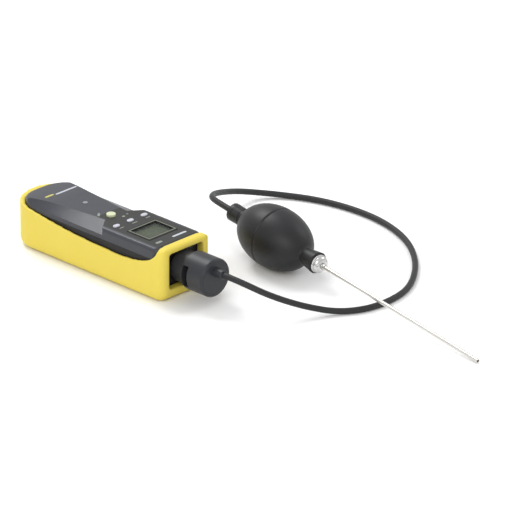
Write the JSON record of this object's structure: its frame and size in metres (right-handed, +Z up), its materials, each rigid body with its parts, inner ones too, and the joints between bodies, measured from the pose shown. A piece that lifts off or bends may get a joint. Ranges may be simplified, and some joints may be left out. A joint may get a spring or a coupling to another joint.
{
  "type": "portable gas detector",
  "caption": "Handheld gas detector in a yellow rubber boot, with a sampling cap, a hose, a squeeze bulb and a long steel probe.",
  "frame": {"origin": "centre of the boot's flat underside, on the surface that the meter lies on", "axes": "+X along the meter towards its sensor end, +Y to the meter's left, +Z up out of the display face"},
  "size_m": [0.5103, 0.2878, 0.0604],
  "materials": {
    "boot_rubber": "soft matte moulded rubber, yellow",
    "case_plastic": "fine-grained dark grey moulding",
    "rear_plastic": "fine-grained near-black moulding",
    "door_plastic": "fine-grained near-black moulding",
    "seal_rubber": "soft black rubber",
    "screw_steel": "zinc-plated steel",
    "battery_wrap": "printed sleeve, plain",
    "snap_plastic": "black vinyl",
    "foam": "soft foam",
    "board_laminate": "green solder mask",
    "chip_resin": "black moulded resin",
    "switch_plastic": "black with a pale plunger",
    "silicone": "dark silicone sheet",
    "key_silver": "silver-painted key",
    "key_yellow": "pale yellow-green key",
    "lamp_lens": "milky light guide",
    "window_acrylic": "clear acrylic",
    "bezel_print": "pale printed frame",
    "lcd": "blank grey-green liquid-crystal glass",
    "holder_plastic": "black moulding",
    "strip_rubber": "layered contact rubber",
    "panel_acrylic": "milky acrylic",
    "nose_plastic": "dark moulding",
    "sensor_metal": "plain can",
    "grille_metal": "sintered disc",
    "cap_rubber": "dense dark grey rubber",
    "nipple_plastic": "dark moulding",
    "hose_rubber": "extruded rubber",
    "bulb_rubber": "moulded rubber with a fine matte skin",
    "valve_plastic": "dark moulding",
    "valve_disc": "soft disc",
    "fitting_chrome": "nickel-plated brass",
    "probe_steel": "bright drawn stainless tube",
    "filter_metal": "dark sintered plug"
  },
  "bodies": {
    "meter": {"protective_boot": "boot_rubber", "front_case": "case_plastic", "rear_case": "rear_plastic", "case_seal": "seal_rubber", "case_screws": "screw_steel", "battery": "battery_wrap", "battery_snap": "snap_plastic", "battery_pad": "foam", "main_board": "board_laminate", "board_screws": "screw_steel", "board_chips": "chip_resin", "buzzer": "chip_resin", "key_switches": "switch_plastic", "keypad_membrane": "silicone", "led_lens": "lamp_lens", "lcd_window": "window_acrylic", "display_bezel": "bezel_print", "lcd_glass": "lcd", "lcd_holder": "holder_plastic", "zebra_strips": "strip_rubber", "backlight_panel": "panel_acrylic", "sensor_nose": "nose_plastic", "sensor_cell": "sensor_metal", "sensor_socket": "chip_resin", "sensor_grille": "grille_metal", "nose_o_ring": "seal_rubber"},
    "sampling_kit": {"sampling_cap": "cap_rubber", "hose_nipple": "nipple_plastic", "sample_hose": "hose_rubber", "outlet_retainer": "valve_plastic", "outlet_valve_body": "valve_plastic", "aspirator_bulb": "bulb_rubber", "inlet_valve_body": "fitting_chrome", "inlet_retainer": "valve_plastic", "probe_ferrule": "fitting_chrome", "probe_tube": "probe_steel", "probe_filter": "filter_metal"},
    "power_button": {"power_button": "key_yellow"},
    "hold_button": {"hold_button": "key_silver"},
    "backlight_button": {"backlight_button": "key_silver"},
    "peak_button": {"peak_button": "key_silver"},
    "battery_door": {"battery_door": "door_plastic"},
    "outlet_valve_disc": {"outlet_valve_disc": "valve_disc"},
    "inlet_valve_disc": {"inlet_valve_disc": "valve_disc"}
  },
  "joints": [
    {"name": "power_button_press", "type": "slide", "parent": "meter", "child": "power_button", "axis": [0, 0, -1], "range_m": [0, 0.0008], "stiffness_N_per_m": 900},
    {"name": "hold_button_press", "type": "slide", "parent": "meter", "child": "hold_button", "axis": [0, 0, -1], "range_m": [0, 0.0008], "stiffness_N_per_m": 900},
    {"name": "backlight_button_press", "type": "slide", "parent": "meter", "child": "backlight_button", "axis": [0, 0, -1], "range_m": [0, 0.0008], "stiffness_N_per_m": 900},
    {"name": "peak_button_press", "type": "slide", "parent": "meter", "child": "peak_button", "axis": [0, 0, -1], "range_m": [0, 0.0008], "stiffness_N_per_m": 900},
    {"name": "battery_door_hinge", "type": "hinge", "parent": "meter", "child": "battery_door", "pos_m": [-0.0329, 0, 0.0073], "axis": [0, -1, 0], "range_deg": [0, 75]},
    {"name": "sampling_kit_pull_off", "type": "slide", "parent": "meter", "child": "sampling_kit", "axis": [1, 0, 0], "range_m": [0, 0.025]},
    {"name": "outlet_valve_lift", "type": "slide", "parent": "sampling_kit", "child": "outlet_valve_disc", "axis": [-0.9916, 0.0853, 0.0974], "range_m": [0, 0.0012], "stiffness_N_per_m": 40},
    {"name": "inlet_valve_lift", "type": "slide", "parent": "sampling_kit", "child": "inlet_valve_disc", "axis": [-0.9916, 0.0853, 0.0974], "range_m": [0, 0.0012], "stiffness_N_per_m": 40}
  ]
}
